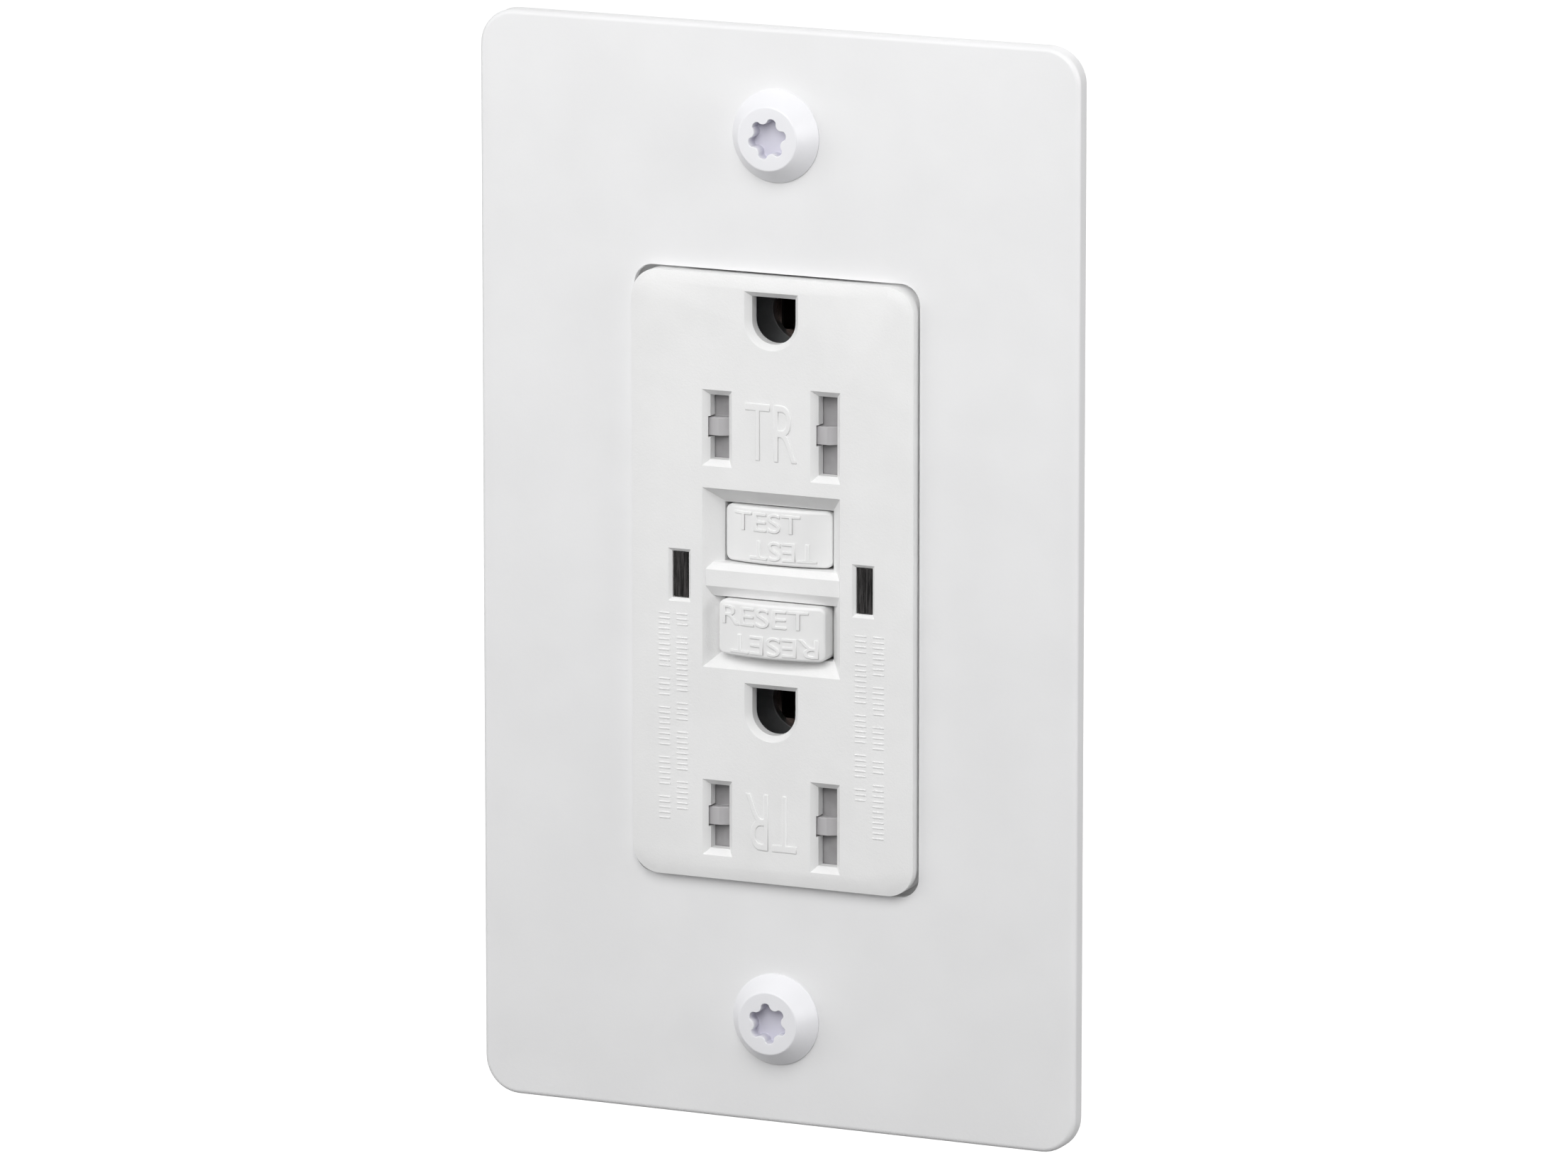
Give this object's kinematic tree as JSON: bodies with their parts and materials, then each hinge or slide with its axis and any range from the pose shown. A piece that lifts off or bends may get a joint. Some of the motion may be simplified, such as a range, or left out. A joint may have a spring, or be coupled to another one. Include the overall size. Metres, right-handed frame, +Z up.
{
  "type": "gfci outlet",
  "caption": "Ground-fault protected double outlet with test and reset keys, shuttered slots, mounting strap, screw terminals and a white screwed wall plate.",
  "frame": {"origin": "centre of the wall plate's back, in the plane of its rim, which lies on the wall", "axes": "+Z up, +X to the right as seen from the room, +Y into the wall; the keys and slots face -Y"},
  "size_m": [0.07, 0.0329, 0.12],
  "materials": {
    "plate_coat": "fine matte white powder coat",
    "screw_coat": "satin white coat",
    "face_plastic": "fine textured white thermoplastic",
    "key_plastic": "smooth satin white thermoplastic",
    "shutter_plastic": "translucent grey",
    "smoked_lens": "smoked clear plastic, dark when unlit",
    "housing_plastic": "grey glass-filled thermoplastic",
    "carrier_plastic": "natural thermoplastic",
    "zinc_steel": "zinc plated sheet steel",
    "plated_screw": "zinc plated",
    "brass_part": "bright rolled brass",
    "nickel_part": "nickel plated",
    "green_screw": "green dyed zinc plate",
    "board": "green solder mask",
    "copper_winding": "enamelled copper wire",
    "spring_steel": "drawn spring wire",
    "black_part": "moulded black",
    "blue_part": "epoxy dipped",
    "led_clear": "clear epoxy"
  },
  "bodies": {
    "device": {"wall_plate": "plate_coat", "plate_screws": "screw_coat", "front_cover": "face_plastic", "upper_shutter_tray": "carrier_plastic", "lower_shutter_tray": "carrier_plastic", "upper_shutter_spring": "spring_steel", "lower_shutter_spring": "spring_steel", "light_pipes": "smoked_lens", "mounting_strap": "zinc_steel", "mounting_screws": "plated_screw", "screw_retainers": "carrier_plastic", "upper_ground_contact": "brass_part", "lower_ground_contact": "brass_part", "hot_bus": "brass_part", "neutral_bus": "brass_part", "line_hot_terminal": "brass_part", "line_neutral_terminal": "nickel_part", "load_hot_terminal": "brass_part", "load_neutral_terminal": "nickel_part", "fixed_contacts": "nickel_part", "arm_brackets": "brass_part", "middle_carrier": "carrier_plastic", "rear_housing": "housing_plastic", "housing_screws": "plated_screw", "circuit_board": "board", "indicator_leds": "led_clear", "transformer_cup": "carrier_plastic", "sense_transformer": "copper_winding", "neutral_transformer": "copper_winding", "solenoid_frame": "zinc_steel", "solenoid_bobbin": "carrier_plastic", "solenoid_coil": "copper_winding", "plunger_spring": "spring_steel", "reset_spring": "spring_steel", "test_spring": "spring_steel", "varistor": "blue_part", "thyristor": "black_part", "filter_capacitor": "black_part", "controller_chip": "black_part"},
    "test_button": {"test_button": "key_plastic"},
    "reset_button": {"reset_button": "key_plastic", "reset_stem": "nickel_part"},
    "test_contact_leaf": {"test_contact_leaf": "brass_part"},
    "upper_shutter": {"upper_shutter": "shutter_plastic"},
    "lower_shutter": {"lower_shutter": "shutter_plastic"},
    "lifter": {"lifter": "carrier_plastic"},
    "latch_plate": {"latch_plate": "zinc_steel"},
    "plunger": {"plunger": "zinc_steel"},
    "hot_contact_arm": {"hot_contact_arm": "brass_part"},
    "neutral_contact_arm": {"neutral_contact_arm": "brass_part"},
    "ground_clamp": {"ground_clamp": "nickel_part"},
    "ground_screw": {"ground_screw": "green_screw"},
    "line_hot_clamp": {"line_hot_clamp": "brass_part"},
    "line_hot_screw": {"line_hot_screw": "brass_part"},
    "line_neutral_clamp": {"line_neutral_clamp": "nickel_part"},
    "line_neutral_screw": {"line_neutral_screw": "nickel_part"},
    "load_hot_clamp": {"load_hot_clamp": "brass_part"},
    "load_hot_screw": {"load_hot_screw": "brass_part"},
    "load_neutral_clamp": {"load_neutral_clamp": "nickel_part"},
    "load_neutral_screw": {"load_neutral_screw": "nickel_part"}
  },
  "joints": [
    {"name": "test_press", "type": "slide", "parent": "device", "child": "test_button", "axis": [0, 1, 0], "range_m": [0, 0.0015], "stiffness_N_per_m": 1500, "deforming": ["test_spring"]},
    {"name": "test_leaf_swing", "type": "hinge", "parent": "device", "child": "test_contact_leaf", "pos_m": [-0.0082, 0.01005, 0.0048], "axis": [0, 0, 1], "range_deg": [0, 11]},
    {"name": "reset_press", "type": "slide", "parent": "device", "child": "reset_button", "axis": [0, 1, 0], "range_m": [0, 0.003], "stiffness_N_per_m": 1200, "deforming": ["reset_spring"]},
    {"name": "upper_shutter_slide", "type": "slide", "parent": "device", "child": "upper_shutter", "axis": [-1, 0, 0], "range_m": [0, 0.0026], "stiffness_N_per_m": 150, "deforming": ["upper_shutter_spring"]},
    {"name": "lower_shutter_slide", "type": "slide", "parent": "device", "child": "lower_shutter", "axis": [-1, 0, 0], "range_m": [0, 0.0026], "stiffness_N_per_m": 150, "deforming": ["lower_shutter_spring"]},
    {"name": "lifter_slide", "type": "slide", "parent": "device", "child": "lifter", "axis": [0, -1, 0], "range_m": [0, 0.0012], "stiffness_N_per_m": 600},
    {"name": "hot_arm_swing", "type": "hinge", "parent": "device", "child": "hot_contact_arm", "pos_m": [-0.0135, 0.0188, 0.0092], "axis": [-1, 0, 0], "range_deg": [0, 5.3]},
    {"name": "neutral_arm_swing", "type": "hinge", "parent": "device", "child": "neutral_contact_arm", "pos_m": [0.0135, 0.0188, 0.0092], "axis": [-1, 0, 0], "range_deg": [0, 5.3]},
    {"name": "plunger_slide", "type": "slide", "parent": "device", "child": "plunger", "axis": [0, 0, 1], "range_m": [0, 0.0012], "deforming": ["plunger_spring"]},
    {"name": "latch_slide", "type": "slide", "parent": "lifter", "child": "latch_plate", "axis": [0, 0, 1], "range_m": [0, 0.0012]},
    {"name": "ground_clamp_slide", "type": "slide", "parent": "device", "child": "ground_clamp", "axis": [0, 0, 1], "range_m": [0, 0.0009922]},
    {"name": "ground_screw_turn", "type": "hinge", "parent": "ground_clamp", "child": "ground_screw", "pos_m": [-0.0155, 0.0116, -0.036], "axis": [0, 0, 1], "range_deg": [0, 450.01]},
    {"name": "line_hot_screw_turn", "type": "hinge", "parent": "device", "child": "line_hot_screw", "pos_m": [-0.0193, 0.0192, 0.018], "axis": [1, 0, 0], "range_deg": [0, 675.01]},
    {"name": "line_hot_clamp_slide", "type": "slide", "parent": "device", "child": "line_hot_clamp", "axis": [-1, 0, 0], "range_m": [0, 0.00149]},
    {"name": "load_hot_screw_turn", "type": "hinge", "parent": "device", "child": "load_hot_screw", "pos_m": [-0.0193, 0.0192, -0.018], "axis": [1, 0, 0], "range_deg": [0, 675.01]},
    {"name": "load_hot_clamp_slide", "type": "slide", "parent": "device", "child": "load_hot_clamp", "axis": [-1, 0, 0], "range_m": [0, 0.00149]},
    {"name": "line_neutral_screw_turn", "type": "hinge", "parent": "device", "child": "line_neutral_screw", "pos_m": [0.0193, 0.0192, 0.018], "axis": [-1, 0, 0], "range_deg": [0, 675.01]},
    {"name": "line_neutral_clamp_slide", "type": "slide", "parent": "device", "child": "line_neutral_clamp", "axis": [1, 0, 0], "range_m": [0, 0.00149]},
    {"name": "load_neutral_screw_turn", "type": "hinge", "parent": "device", "child": "load_neutral_screw", "pos_m": [0.0193, 0.0192, -0.018], "axis": [-1, 0, 0], "range_deg": [0, 675.01]},
    {"name": "load_neutral_clamp_slide", "type": "slide", "parent": "device", "child": "load_neutral_clamp", "axis": [1, 0, 0], "range_m": [0, 0.00149]}
  ],
  "couplings": [
    {"joint": "test_leaf_swing", "follows": "test_press", "rad_per_m": 127.5},
    {"joint": "hot_arm_swing", "follows": "lifter_slide", "rad_per_m": 77},
    {"joint": "neutral_arm_swing", "follows": "lifter_slide", "rad_per_m": 77},
    {"joint": "latch_slide", "follows": "plunger_slide", "ratio": 1},
    {"joint": "ground_screw_turn", "follows": "ground_clamp_slide", "rad_per_m": 7915.8},
    {"joint": "line_hot_screw_turn", "follows": "line_hot_clamp_slide", "rad_per_m": 7915.8},
    {"joint": "load_hot_screw_turn", "follows": "load_hot_clamp_slide", "rad_per_m": 7915.8},
    {"joint": "line_neutral_screw_turn", "follows": "line_neutral_clamp_slide", "rad_per_m": 7915.8},
    {"joint": "load_neutral_screw_turn", "follows": "load_neutral_clamp_slide", "rad_per_m": 7915.8}
  ]
}
